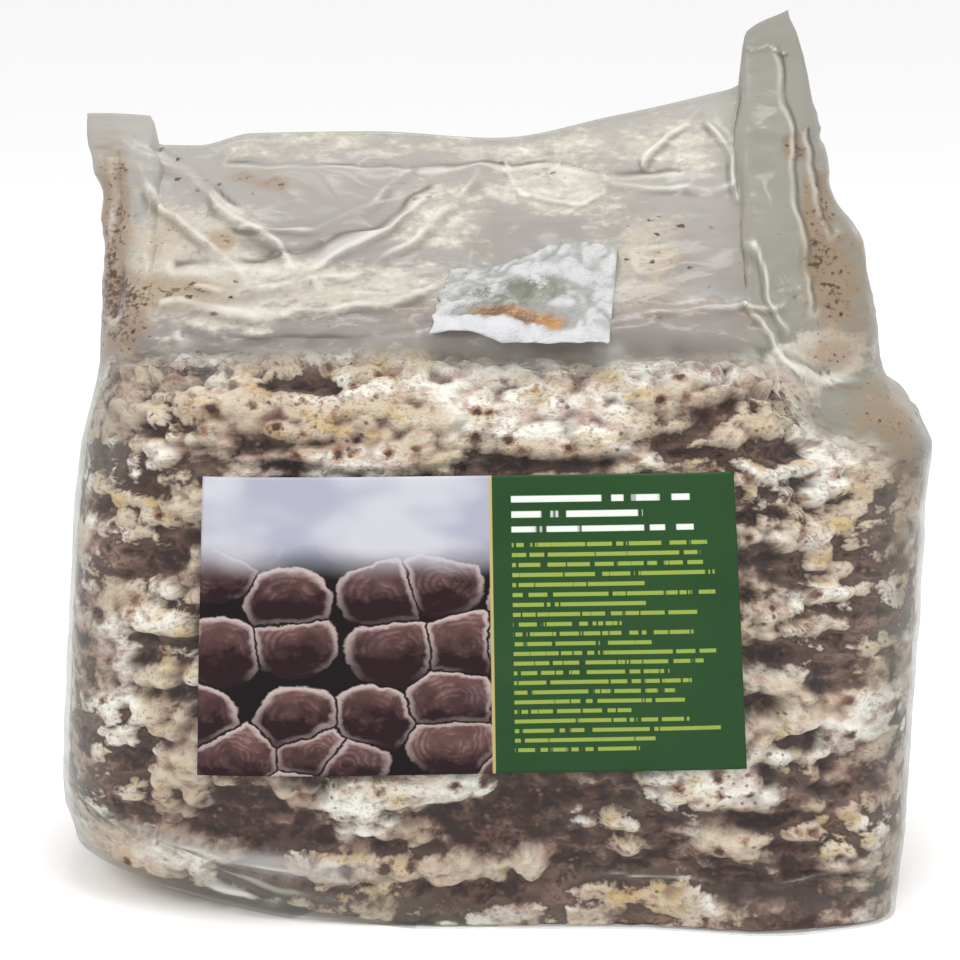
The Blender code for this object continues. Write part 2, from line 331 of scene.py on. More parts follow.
def half_outline(level, spans, inset=0.0, round_off=0.0):
    """X and distance from the middle plane, from the left side round to the right side."""
    left, right, depth, square_left, square_right = level_sizes(level)
    left, right, depth = left + inset, right - inset, depth - inset
    middle, half = (left + right) / 2, (right - left) / 2
    angle = math.pi * (1 - np.linspace(0, 1, OUTLINE_STEPS))
    c, s = np.cos(angle), np.clip(np.sin(angle), 0.0, 1.0)
    square = np.where(c < 0, square_left, square_right) - round_off
    x = middle + half * np.sign(c) * np.abs(c) ** (2 / square)
    y = depth * s ** (2 / square)
    run = np.concatenate(([0.0], np.cumsum(np.hypot(np.diff(x), np.diff(y)))))
    share = np.linspace(0, 1, spans + 1)
    x, y = np.interp(share * run[-1], run, x), np.interp(share * run[-1], run, y)
    if level > 1:
        folded_x = left + read_curve(GUSSET_SHARES, share) * (right - left)
        reach = np.clip(np.abs(folded_x - middle) / half, 0.0, 1.0)
        folded_y = depth * (1 - reach ** square_left) ** (1 / square_left)
        turned = ease((level - 1) / 0.75)
        x, y = x + turned * (folded_x - x), y + turned * (folded_y - y)
    y[0] = y[-1] = 0.0
    return x, y


def place_points(x, y, level):
    """Points of the form in mm, with heights, the folded corner, the bulge and the crumple."""
    low, high = read_curve(SHOULDER, x), read_curve(TOP_EDGE, x)
    if level <= 1:
        z = level * low
        fold = np.clip((FOLD_START - x) / FOLD_LENGTH, 0.0, 1.0) ** 1.1
        z = z + FOLD_RISE * fold * ease((FOLD_BACK - y) / FOLD_FADE) * (1 - level) ** 3
        near = np.exp(-(((x - BULGE_X) / BULGE_WIDTH) ** 2))
        y = y - np.where(y < 0, BULGE_OUT * near * max(1 - level / 0.35, 0.0), 0.0)
    else:
        z = low + (level - 1) * (high - low)
        y = y + RIDGE_WAVE * np.sin(x / RIDGE_PITCH) * ease(level - 1)
        side = np.copysign(4.0, y)
        soft = [noise.noise(Vector((a / CRUMPLE_SIZE, b, c / CRUMPLE_SIZE * 1.3)))
                for a, b, c in zip(x, side, z)]
        y = y * (1 + CRUMPLE * np.array(soft) * math.sin(math.pi * (level - 1)))
    return np.column_stack((x, y, z))


def ring_of(level, spans, inset=0.0, round_off=0.0):
    """One closed loop of points: along the front from left to right, then back behind.

    The spans are the steps of the front and of the back.
    """
    x, y = half_outline(level, spans[0], inset, round_off)
    back_x, back_y = half_outline(level, spans[1], inset, round_off)
    return place_points(np.concatenate((x, back_x[-2:0:-1])),
                        np.concatenate((-y, back_y[-2:0:-1])), level)


def mesh_object(name, points, faces, material, smooth=True):
    """A mesh object from points in mm and faces."""
    mesh = bpy.data.meshes.new(name)
    mesh.from_pydata((np.asarray(points) * MM).tolist(), [], faces)
    mesh.materials.append(material)
    if smooth:
        mesh.shade_smooth()
    mesh.validate()
    made = bpy.data.objects.new(name, mesh)
    bpy.context.scene.collection.objects.link(made)
    return made


def keep_numbers(piece, name, values):
    """Keeps one number for each point of a piece, for its materials to read."""
    layer = piece.data.attributes.new(name, "FLOAT", "POINT")
    layer.data.foreach_set("value", np.asarray(values, np.float32))


def soft_marks(points, marks):
    """Sum of soft ovals on the front, each (x, z, half width, half height, amount)."""
    x, y, z = points.T
    total = np.zeros(len(x))
    for mark_x, mark_z, wide, high, amount in marks:
        spread = ((x - mark_x) / wide) ** 2 + ((z - mark_z) / high) ** 2
        total += amount * np.exp(-0.7 * spread ** 1.5)
    return total * ease((10 - y) / 20)


def lofted_faces(rings, count):
    """Quads between rings of count points each, numbered one ring after the other."""
    faces = []
    for r in range(rings - 1):
        low, high = r * count, (r + 1) * count
        for k in range(count):
            n = (k + 1) % count
            faces.append((low + k, low + n, high + n, high + k))
    return faces


shoulder_mm = float(read_curve(SHOULDER, 0))
ear_tip = float(read_curve(TOP_EDGE, HEAD_RIGHT[-1][1]))
print("shoulder", shoulder_mm, "mm, tip of the ear", ear_tip, "mm")

# %% [markdown]
# ## The grown block
# Mycelium grows out from the grain spawn in the sawdust as pale lumps and skins, and
# where it touches the film it is pressed flat and turns creamy white. Between the lumps
# the brown sawdust shows, in hollows and in furrows where the film was gathered. The
# block is a smooth rounded box first. Geometry nodes then press its hollows in by a rule
# of clouds and cells, and keep each point's first place in an attribute, so that the
# colours can add finer clouds at the same places.

# %% The rule of the growth
RELIEF_MM = 8.5
FURROW_MM = 2.2
FURROW_PITCH = 8.6
FURROWS_FROM, FURROWS_TO = 66, 92
RIM_FROM, RIM_TO, RIM_PRESSED = 100, 124, 0.92

# Where mycelium is thick (above 0) or sawdust lies bare (below 0) on the front: places,
# half widths, half heights and amounts, in mm.
UPPER_BAND = [
    (-101, 161, 12, 10, -0.4), (-102, 155, 8, 3, 0.5), (-82, 159, 12, 6, 0.3),
    (-77, 153, 13, 4, -0.5), (-66, 167, 6, 4, -0.2), (-57, 166, 10, 3, -0.9),
    (-49, 168, 8, 3, -0.7), (-65, 160, 9, 4, 0.8), (-60, 153, 15, 4, 0.7),
    (-44, 160, 6, 6, -0.4), (-24, 163, 24, 8, 0.9), (-69, 148, 6, 4, -1.1),
    (-57, 149, 9, 2.5, -1.1), (-96, 144, 8, 4, 0.6), (-83, 142, 7, 3, -0.9),
    (-50, 148, 6, 3, 0.6), (-54, 142, 7, 2, -0.9), (-36, 145, 12, 3, 0.9),
    (-21, 147, 13, 5, 0.6), (-8, 149, 10, 5, -0.3), (-4, 157, 12, 4, 0.4),
    (23, 162, 20, 2.5, 0.1), (50, 165, 23, 7, 0.9), (74, 161, 3.5, 4, -0.9),
    (67, 156, 9, 4, -0.9), (21, 154, 19, 6, 0.9), (50, 155, 14, 3, 0.5),
    (2, 148, 8, 6, -0.4), (60, 149, 14, 4, -0.7), (17, 142, 20, 2, -1.1),
    (42, 141, 12, 2, 0.5), (78, 152, 7, 3.5, 1.0), (90, 146, 12, 3, -1.0),
    (97, 153, 11, 2.5, 0.5), (84, 140, 10, 4, 0.8), (105, 146, 5, 4, 0.7),
    (98, 161, 14, 5, -0.2), (-15, 158, 100, 14, 0.60),
]
LEFT_COLUMN = [
    (-88, 128, 8, 5, 0.7), (-108, 127, 4, 6, 0.3), (-95, 112, 7, 4, -0.8), (-86, 112, 5, 5, 0.7),
    (-98, 108, 7, 3, 0.6), (-92, 103, 12, 3, 0.5), (-92, 95, 14, 4, 0.8), (-97, 88, 13, 1.6, -0.8),
    (-94, 79, 17, 5, 0.9), (-101, 82, 4, 2.5, -1.2), (-88, 72, 13, 1.8, -1.0),
    (-105, 65, 7, 4, 0.7), (-94, 62, 8, 4, 0.6), (-102, 56, 3, 6, -0.8), (-107, 48, 5, 5, -0.9),
    (-107, 54, 5, 3, 0.6), (-90, 45, 13, 12, 0.8), (-114, 48, 5, 10, 0.3), (-82, 30, 6, 4, -1.2),
    (-70, 30, 12, 9, -0.9), (-106, 140, 10, 16, -0.35), (-98, 90, 26, 60, -0.15),
]
RIGHT_COLUMN = [
    (103, 141, 8, 5, 0.7), (115, 139, 6, 8, 0.4), (95, 124, 21, 8, 0.8), (80, 114, 10, 3, -0.9),
    (105, 109, 7, 5, 1.0), (95, 101, 21, 5, 0.8), (93, 93, 15, 3.5, 1.0), (85, 84, 14, 2.5, -0.9),
    (98, 83, 6, 4, 0.9), (107, 78, 8, 5, -0.2), (87, 76, 11, 3, 1.0), (95, 68, 6, 5, 0.8),
    (85, 69, 7, 3.5, -0.9), (88, 62, 15, 3, 0.8), (111, 61, 10, 6, 0.5), (88, 54, 15, 4, 0.8),
    (93, 48, 8, 2.5, -0.5), (81, 43, 12, 5, 0.9), (95, 38, 7, 4, -0.7), (106, 38, 12, 8, 0.6),
    (90, 30, 11, 3, 0.9), (78, 33, 8, 2.5, -0.7), (81, 24, 9, 3, 0.7), (107, 22, 8, 5, 0.6),
    (88, 15, 4.5, 4.5, 1.2), (98, 12, 26, 7, -0.6), (95, 90, 20, 60, -0.22),
]
FOOT = [
    (0, 30, 84, 21, -1.05), (-57, 43, 6, 4, 1.2), (-38, 38, 11, 9, 2.0), (-14, 44, 18, 6, 2.2),
    (-21, 29, 10, 5, 1.0), (-7, 17, 12, 5, 1.8), (15, 20, 5, 5, 2.0), (-38, 16, 15, 6, 1.4),
    (36, 35, 11, 4, 1.4), (66, 46, 14, 6, 2.4), (73, 29, 9, 4, 1.4), (45, 24, 5, 2.5, 0.8),
    (38, 10, 10, 3, 1.2), (-60, 33, 4, 8, 0.9), (60, 9, 8, 4, 1.2), (-104, 15, 18, 8, 1.6),
    (-40, 3, 80, 4, 0.4),
]
GROWN_MARKS = UPPER_BAND + LEFT_COLUMN + RIGHT_COLUMN + FOOT

# Where that mycelium is greenish white and not cream.
WHITE_MARKS = [
    (-38, 38, 12, 10, 1.6), (-14, 40, 18, 5, 1.2), (21, 154, 20, 6, 1.0), (-36, 145, 12, 3, 0.8),
    (66, 47, 15, 6, 1.6), (105, 109, 8, 5, 0.8), (-92, 102, 13, 4, 0.8), (-14, 165, 20, 8, 0.5),
    (50, 166, 20, 6, 0.4), (-90, 40, 12, 10, -1.0), (95, 97, 20, 9, -0.6), (-60, 155, 18, 8, -0.8),
]


def growth(place, lean):
    """Height of the grown surface, 0 deep to 1 at the film, and how far mycelium covers it."""
    x, _, z = parts_of(place)
    mass = cloud(place, 46, 20, detail=4, shift=3.1, rough=0.55)
    ledge = cloud(place, 44, 7.5, detail=4, shift=8.4, rough=0.6)
    lump = 1.0 - cells(place, 19, 12, shift=2.0, feature="SMOOTH_F1", soft=0.15) ** 2.0
    crumb = 1.0 - cells(place, 6.0, 4.8, shift=5.0, feature="SMOOTH_F1", soft=0.1) ** 2.0
    wobble = cloud(place, 30, 24, detail=2, shift=9.0)
    furrow = ((z / MM + wobble * 26.0) * (2 * math.pi / FURROW_PITCH)).math("SINE") * 0.5 + 0.5
    furrow = furrow * (x / MM).between(FURROWS_FROM, FURROWS_TO)
    cover = mass * 0.9 + ledge * 0.8 + lump * 0.45 + crumb * 0.22 + lean * 0.45 - furrow * 0.10
    height = ((cover - 0.98) * 1.2 + (crumb - 0.7) * 0.7).clamp()
    return height, cover, furrow, crumb


# %% [markdown]
# The same nodes also keep the broad fields that the colours need, three to an attribute,
# so the material only adds what is finer than the mesh. Bare sawdust runs from dark through
# brown to tan, and it is painted darker the deeper it lies, as painted shade in the hollows.
# The mycelium lies over it in cream and greenish white. Some of it is pressed to the film
# and soft at its edges, and some is crumbly and sharp, with a dark seam of painted shade
# round it, and the gaps between crumbs are painted darker as shade too. Brown pits with
# rusty rims dot it where drops stood.

# %% Colours of the growth
# The darkest colour serves both as dark sawdust and pit cores and as painted shade in hollows and
# seams.
SAWDUST_DARK_AND_SHADE = (0.026, 0.011, 0.009)
SAWDUST_BROWN = (0.150, 0.074, 0.058)
SAWDUST_TAN = (0.360, 0.242, 0.185)
MYCELIUM_CREAM = (0.480, 0.415, 0.320)
MYCELIUM_WHITE = (0.680, 0.670, 0.605)
MYCELIUM_STRAW = (0.430, 0.300, 0.105)
RUST = (0.200, 0.072, 0.024)
COVER_EDGE = 1.32


def make_grown_material():
    made, tree = new_material("grown_sawdust")
    place = kept_on_points(tree, "grown_at")
    cover, height, drift = parts_of(kept_on_points(tree, "growth"))
    sharp, tint, straw = parts_of(kept_on_points(tree, "tones"))
    pitted, porous, crumb = parts_of(kept_on_points(tree, "spots"))
    mottle = cloud(place, 6.5, 4.0, detail=3, shift=4.0, rough=0.62)
    grain = cloud(place, 1.7, 1.3, detail=2, shift=1.0, rough=0.65)
    # The low places between the crumbs, which are painted darker as shade.
    gap = crumb.between(0.70, 0.25)

    edge = cover + (mottle - 0.5) * 0.85 + (grain - 0.5) * 0.25 - gap * 0.22 - COVER_EDGE
    step = edge / (0.46 - sharp * 0.32)
    mycelium = (step + 0.5).clamp()
    veil = edge.between(-0.50, 0.05)
    # A dark band just outside the crisp mycelium edges: painted shade round the lumps.
    seam_shade = step.between(-2.0, -0.6) * (1.0 - mycelium) * sharp

    # The sawdust is darker the lower its height, which is painted shade in the hollows, over its own
    # random mottled tone.
    tone = height * 0.5 + (mottle - 0.5) * 1.8 + (grain - 0.5) * 1.4 + drift * 0.35
    bare_sawdust_and_shade = layered(SAWDUST_DARK_AND_SHADE, (tone.between(-0.1, 0.80), SAWDUST_BROWN),
                    (veil * (0.35 + drift * 0.55), SAWDUST_TAN), (seam_shade * 0.8, SAWDUST_DARK_AND_SHADE))

    # Brown specks of grain, and painted shade in the gaps between crumbs.
    specks_and_gap_shade = (grain.between(0.50, 0.32) * 0.6).most(gap * 0.8)
    cream = layered(MYCELIUM_CREAM, (tint, MYCELIUM_WHITE), (drift * 0.40, SAWDUST_TAN),
                    (mottle.between(0.53, 0.33) * 0.75, SAWDUST_TAN),
                    (straw * sharp * mottle.between(0.35, 0.6) * 0.7, MYCELIUM_STRAW),
                    (specks_and_gap_shade * (0.3 + sharp * 0.6), SAWDUST_BROWN))

    ragged = (mottle - 0.5) * 0.45 + (grain - 0.5) * 0.30
    pits = cells(place, 8.2, 7.0, shift=6.0) + ragged
    rim = pits.between(0.34, 0.20) * pitted
    core = pits.between(0.21, 0.12) * pitted
    pores = cells(place, 3.6, 3.1, shift=26.0) + ragged * 0.7
    pore = pores.between(0.25, 0.14) * porous
    colour = layered(bare_sawdust_and_shade, (mycelium, cream), (rim * (mycelium * 0.8 + 0.1) * 0.8, RUST),
                     (pore * (1.0 - mycelium) * 0.35, SAWDUST_TAN),
                     (core.most(pore * 0.8) * mycelium * 0.9, SAWDUST_DARK_AND_SHADE))
    bump = bumped(mottle + grain * 0.4, 0.9, 2.2)
    return close_material(made, surface(tree, colour, 0.9 - mycelium * 0.1, Normal=bump,
                                        Specular_IOR_Level=0.3))


# %% The relief as geometry nodes
def new_geometry_tree(name, numbers):
    """A geometry node tree with a mesh and named numbers as inputs, and its wires."""
    tree = bpy.data.node_groups.new(name, "GeometryNodeTree")
    face = tree.interface
    face.new_socket("Geometry", in_out="INPUT", socket_type="NodeSocketGeometry")
    keys = [face.new_socket(n, in_out="INPUT", socket_type="NodeSocketFloat").identifier
            for n in numbers]
    face.new_socket("Geometry", in_out="OUTPUT", socket_type="NodeSocketGeometry")
    entry = tree.nodes.new("NodeGroupInput")
    wires = [Wire(tree, socket) for socket in entry.outputs[:len(numbers) + 1]]
    return tree, keys, wires


def keep_fields(geometry, name, fields):
    """Keeps three fields on the points of a geometry, as one vector."""
    if not isinstance(fields, Wire):
        fields = add_node(geometry.tree, "ShaderNodeCombineXYZ", {}, dict(zip("XYZ", fields)))
    return add_node(geometry.tree, "GeometryNodeStoreNamedAttribute",
                    {"data_type": "FLOAT_VECTOR", "domain": "POINT"},
                    {"Geometry": geometry, "Name": name, "Value": fields})


def close_tree(geometry, material):
    """Makes real what is left to be, sets the material and ends the tree."""
    tree = geometry.tree
    real = add_node(tree, "GeometryNodeRealizeInstances", {}, {"Geometry": geometry})
    final = add_node(tree, "GeometryNodeSetMaterial", {}, {"Geometry": real, "Material": material})
    tree.links.new(final.socket, tree.nodes.new("NodeGroupOutput").inputs[0])


def named_number(tree, name):
    return add_node(tree, "GeometryNodeInputNamedAttribute", {"data_type": "FLOAT"},
                    {"Name": name}, out="Attribute")


def grown_tree(material):
    """Presses the hollows in along the normals, by the rule of the growth."""
    tree, keys, (mesh_in, depth, furrow_depth) = new_geometry_tree(
        "grown_relief", ("Relief depth", "Furrow depth"))
    place = add_node(tree, "GeometryNodeInputPosition", {}, {})
    height, cover, furrow, crumb = growth(place, named_number(tree, "lean"))
    drift = cloud(place, 15, 5, detail=3, shift=7.0).between(0.46, 0.66)
    sharp = cloud(place, 32, 19, detail=1, shift=13.0).between(0.38, 0.54)
    tint = cloud(place, 30, 15, detail=2, shift=11.0) + named_number(tree, "white") * 0.12
    tint = tint.between(0.49, 0.60)
    straw = cloud(place, 11, 6, detail=3, shift=17.0).between(0.50, 0.62)
    pitted = cloud(place, 28, 19, detail=1, shift=15.0).between(0.38, 0.50)
    porous = cloud(place, 17, 11, detail=2, shift=19.0).between(0.48, 0.58)

    kept = keep_fields(mesh_in, "grown_at", place)
    kept = keep_fields(kept, "growth", (cover, height, drift))
    kept = keep_fields(kept, "tones", (sharp, tint, straw))
    kept = keep_fields(kept, "spots", (pitted, porous, crumb))
    x, _, z = parts_of(place)
    pressed = (z / MM).between(1, 18) * 0.9 + 0.1
    rims = (x / MM).math("ABSOLUTE").between(RIM_FROM, RIM_TO)
    pressed = pressed * (1.0 - rims * RIM_PRESSED)
    inwards = ((1.0 - height) * depth + furrow * furrow_depth) * pressed
    normal = add_node(tree, "GeometryNodeInputNormal", {}, {})
    offset = add_node(tree, "ShaderNodeVectorMath", {"operation": "SCALE"},
                      {0: normal, "Scale": -inwards})
    close_tree(add_node(tree, "GeometryNodeSetPosition", {}, {"Geometry": kept, "Offset": offset}),
               material)
    return tree, keys


def apply_tree(piece, tree, inputs):
    """Runs a node tree on a piece, and returns the result as a plain mesh object."""
    modifier = piece.modifiers.new("nodes", "NODES")
    modifier.node_group = tree
    for key, value in inputs.items():
        modifier[key] = value
    graph = bpy.context.evaluated_depsgraph_get()
    mesh = bpy.data.meshes.new_from_object(piece.evaluated_get(graph))
    piece.modifiers.clear()
    name = piece.name
    bpy.data.objects.remove(piece)
    made = bpy.data.objects.new(name, mesh)
    bpy.context.scene.collection.objects.link(made)
    return made


# %% The smooth lump, then its relief
BLOCK_SPANS = (280, 130)
BLOCK_ROWS = 188
BLOCK_TOP_RINGS = 30
BLOCK_BASE_RINGS = 5
BLOCK_SHARE = 0.975
CORNER_GAP = 0.8
FILM_GAP = 0.7
FLOOR_GAP = 0.4
BLOCK_ROUND_OFF = 0.2
BLOCK_DOME = 7.0
BACK_LEAN, RIM_LEAN = 0.35, 0.08


def smooth_block(material):
    """Rows up the sides, then shrinking rings over the top and under the base."""
    sides = []
    for share in np.linspace(0, 1, BLOCK_ROWS):
        squeeze = CORNER_GAP * (1 - math.sin(math.pi * (0.08 + 0.84 * share)))
        ring = ring_of(BLOCK_SHARE * share, BLOCK_SPANS, FILM_GAP + squeeze, BLOCK_ROUND_OFF)
        ring[:, 2] += FLOOR_GAP * (1 - share)
        sides.append(ring)
    base = []
    for share in np.linspace(0, 1, BLOCK_BASE_RINGS + 2)[1:-1]:
        ring = sides[0] * (share, share, 1.0)
        ring[:, 2] = FLOOR_GAP + (sides[0][:, 2] - FLOOR_GAP) * share ** 3
        base.append(ring)
    top = []
    for share in 1 - np.linspace(0, 1, BLOCK_TOP_RINGS + 2)[1:-1]:
        ring = sides[-1] * (share, share, 1.0)
        ring[:, 2] = (BLOCK_SHARE * read_curve(SHOULDER, ring[:, 0])
                      + BLOCK_DOME * (1 - share * share))
        top.append(ring)
    rings = base + sides + top
    count = len(rings[0])
    crown = BLOCK_SHARE * shoulder_mm + BLOCK_DOME
    points = np.concatenate(rings + [[(0, 0, FLOOR_GAP)], [(0, 0, crown)]])
    faces = lofted_faces(len(rings), count)
    under, over = len(points) - 2, len(points) - 1
    last = (len(rings) - 1) * count
    for k in range(count):
        n = (k + 1) % count
        faces.append((n, k, under))
        faces.append((last + k, last + n, over))
    made = mesh_object("mycelium", points, faces, material)
    x, y, z = points.T
    rims = ease((np.abs(x) - 108) / 14) * ease((15 - y) / 30)
    lean = soft_marks(points, GROWN_MARKS) + BACK_LEAN * ease((y + 20) / 60) + RIM_LEAN * rims
    keep_numbers(made, "lean", lean)
    keep_numbers(made, "white", soft_marks(points, WHITE_MARKS))
    return made


grown = make_grown_material()
relief_tree, relief_keys = grown_tree(grown)
block = apply_tree(smooth_block(grown), relief_tree,
                   dict(zip(relief_keys, (RELIEF_MM * MM, FURROW_MM * MM))))
print("block:", len(block.data.polygons), "faces")

# %% [markdown]
# ## The film
# The film is one thin wall, so it is a single surface lofted through the same outlines,
# much finer than the solid. Film creases sharply where it was folded and wrinkles softly
# where it sags, so its relief is the sum of listed creases, placed where they show, and of
# ridged clouds. It is a clear sheet with haze: dew and thin mycelium lie on its inside.

# %% Creases of the film
FILM_SPANS = (320, 136)
FILM_FOOT_SHARE = 0.22
FILM_FOOT_LEVELS = 46
FILM_BODY_LEVELS = 44
FILM_HEAD_LEVELS = 112
FILM_BASE_INSET, FILM_BASE_STEP = 0.92, 5.0

# Each crease is a path of (x, z) on the front in mm, its height and its width.
CREASES = [
    ([(-106, 228), (-92, 220), (-76, 209), (-60, 201), (-48, 190)], 2.2, 2.2),
    ([(-104, 222), (-98, 211), (-85, 203), (-67, 191)], 1.6, 2.0),
    ([(-100, 229), (-84, 218), (-70, 210)], -1.3, 1.4),
    ([(-111, 226), (-110, 200), (-110, 180)], -2.2, 1.8),
    ([(-84, 189), (-69, 189), (-53, 191), (-39, 195), (-24, 201), (-12, 209), (-3, 217)], 1.8, 2.0),
    ([(-91, 196), (-69, 197), (-48, 201), (-30, 208), (-15, 218)], -1.6, 2.4),
    ([(-72, 205), (-50, 205), (-34, 212), (-22, 222)], 1.0, 1.4),
    ([(-60, 193), (-42, 199), (-27, 206), (-17, 213)], 1.1, 1.2),
    ([(-95, 184), (-60, 184), (-30, 186), (-16, 190)], 1.0, 1.6),
    ([(-88, 179), (-50, 178), (-20, 180)], -0.9, 1.6),
    ([(-77, 223), (-7, 223), (61, 221)], -0.7, 0.9),
    ([(8, 223), (12, 214), (30, 212), (38, 216), (38, 223)], 0.6, 0.9),
    ([(50, 223), (58, 231), (67, 239)], 1.4, 1.2),
    ([(70, 236), (77, 225), (78, 214)], 1.9, 1.4),
    ([(40, 219), (58, 216), (77, 217)], 0.8, 1.4),
    ([(91, 258), (93, 246), (95, 230), (96, 214), (98, 198), (99, 183)], -0.3, 1.4),
    ([(99, 234), (102, 216), (106, 204)], -0.3, 1.4),
    ([(82, 257), (88, 259), (92, 257)], 0.2, 0.8),
    ([(81, 203), (85, 190), (90, 178)], 0.3, 1.2),
    ([(77, 186), (83, 182), (86, 175), (93, 167), (103, 163), (114, 162)], 2.0, 1.0),
    ([(88, 178), (91, 172), (99, 167), (110, 166)], -3.0, 2.2),
    ([(117, 92), (124, 92.5), (131, 92)], 0.8, 0.7),
    ([(36, 182), (65, 185), (90, 186)], 1.6, 1.2),
    ([(36, 176), (65, 175), (84, 174)], -0.8, 1.8),
    ([(-122, 31), (-107, 25), (-94, 21), (-82, 15.5), (-64, 9)], -2.4, 2.2),
    ([(-120, 34), (-106, 30), (-92, 26), (-78, 22), (-62, 19), (-40, 16)], 1.4, 1.8),
    ([(-103, 23), (-90, 18.5)], -1.6, 3.4),
    ([(-98, 15), (-84, 12), (-68, 8.5)], 1.8, 1.8),
    ([(-88, 22), (-76, 17), (-62, 13.5), (-46, 11)], -1.2, 1.8),
    ([(30, 19), (80, 17), (120, 20)], 0.7, 0.9),
]

# Where the film is hazy with dew, grown over on its inside, or stained: places, half
# widths, half heights and amounts, in mm.
HAZE_MARKS = [
    (-104, 27.5, 16, 1.8, 0.40), (-88, 24, 10, 2.2, 0.40), (-73, 22, 12, 2.8, 0.45),
    (-56, 20.5, 13, 3.0, 0.45), (-40, 17.5, 12, 2.6, 0.35), (-75, 13, 14, 3.0, 0.35),
    (-62, 8, 34, 4.0, 0.40), (-10, 4, 40, 3.0, 0.30), (100, 12, 30, 4.0, 0.15),
    (19, 175, 34, 7, 0.45), (106, 155, 16, 7, 0.35), (66, 177, 28, 7, 0.45),
    (-112, 150, 8, 16, 0.35), (-70, 178, 46, 7, 0.50), (20, 20, 40, 2, 0.10),
]
FILM_GROWN_MARKS = [
    (-80, 201, 33, 16, 0.60), (-70, 188, 36, 6, 0.50), (-25, 229, 60, 6, 0.40),
    (-38, 193, 34, 5, 0.45), (-13, 210, 14, 10, 0.45), (23, 217, 15, 6, 0.85),
    (58, 229, 16, 9, 0.50), (45, 197, 18, 12, 0.40), (99, 170, 13, 6, 1.60),
    (-47, 212, 22, 10, -0.80), (-84, 219, 12, 6, -0.50), (72, 200, 13, 14, -0.60),
    (92, 245, 16, 26, -0.90), (-112, 236, 10, 12, -0.80), (20, 190, 16, 8, -0.3),
    (60, 182, 30, 5, -0.3), (-40, 183, 40, 4, -0.3), (-62, 20.5, 28, 5, 1.2),
]
STAIN_MARKS = [
    (-113, 212, 6, 26, 0.95), (-108, 181, 9, 9, 1.00), (-89, 189, 22, 4, 0.60),
    (53, 197, 15, 15, 0.45), (101, 208, 5, 18, 0.60), (95, 230, 4, 4, 0.85),
    (110, 186, 14, 30, 0.50), (107, 190, 5, 9, 0.35), (127, 130, 6, 30, 0.50), (-20, 187, 10, 4, 0.40),
    (-118, 165, 6, 12, 0.60), (-77, 203, 5, 3, 0.65), (-66, 219, 12, 4, 0.50),
    (104, 171, 7, 3, 0.35), (-95, 160, 14, 8, 0.30), (-95, 203, 12, 10, 0.40),
    (120, 152, 9, 8, 0.45), (80, 184, 5, 5, 0.45),
]
FILM_NUMBERS = ("haze", "grown", "stain")


def far_from(path, x, z):
    """Distance of each point from a path, in mm, and 1 where it lies below the path."""
    away, below = np.full(len(x), 1e9), np.zeros(len(x))
    for (x0, z0), (x1, z1) in zip(path, path[1:]):
        dx, dz = x1 - x0, z1 - z0
        t = np.clip(((x - x0) * dx + (z - z0) * dz) / (dx * dx + dz * dz), 0.0, 1.0)
        here = np.hypot(x - x0 - t * dx, z - z0 - t * dz)
        nearer = here < away
        below = np.where(nearer, z < z0 + t * dz, below)
        away = np.where(nearer, here, away)
    return away, below


def soft_noise(points, wide, high, shift):
    """Noise from -1 to 1 at points in mm, in patches of a width and a height."""
    return np.array([noise.noise(Vector((x / wide + shift, y / wide, z / high)))
                     for x, y, z in points])


def film_relief(points):
    """How far each point stands out of the smooth form, in mm, and the creases' painted highlight and
    shade there.
    """
    x, y, z = points.T
    shoulder = read_curve(SHOULDER, x)
    head = ease((z - shoulder + 10) / 12)
    out = np.zeros(len(x))
    line = np.zeros(len(x))
    fades = np.clip(0.65 + 1.4 * soft_noise(points, 13, 9, 20.0), 0.20, 1.0)
    front = ease((4 - y) / 6)
    wander_x, wander_z = (1.6 * soft_noise(points, 12, 9, shift) for shift in (31.0, 37.0))
    for path, height, width in CREASES:
        away, below = far_from(path, x + wander_x, z + wander_z)
        crest = 0.6 * np.exp(-away / (0.6 * width)) + 0.4 * np.exp(-((away / (2.0 * width)) ** 2))
        out += front * height * crest * (0.3 + 0.7 * fades)
        # A crest paints a pale line, partly whiter folded haze and partly painted highlight; a valley,
        # and a band below each crease, get painted shade.
        core = np.exp(-((away / (0.18 * width + 0.30)) ** 2))
        shade = np.exp(-(((away - 0.9 * width - 0.4) / (0.6 * width)) ** 2)) * below
        line += front * np.sign(height) * (core - 0.65 * shade)
    folds = 1 - 2.2 * np.abs(soft_noise(points, 34, 17, 2.0))
    small = 1 - 2.2 * np.abs(soft_noise(points, 15, 6, 5.0))
    calm = (1 - 0.6 * ease((np.abs(x) - 98) / 14)) * (1 - 0.8 * ease((z - 232) / 14))
    out += head * calm * (2.2 * folds + 0.8 * small)
    gathers = 1 - 2.0 * np.abs(soft_noise(points, 26, 5.0, 9.0))
    sag = soft_noise(points, 40, 14, 12.0)
    out += (1 - head) * (0.22 * gathers + 0.5 * sag) * ease(z / 12)
    top = read_curve(TOP_EDGE, x)
    return out * ease((top - z) / 10), line * fades, head


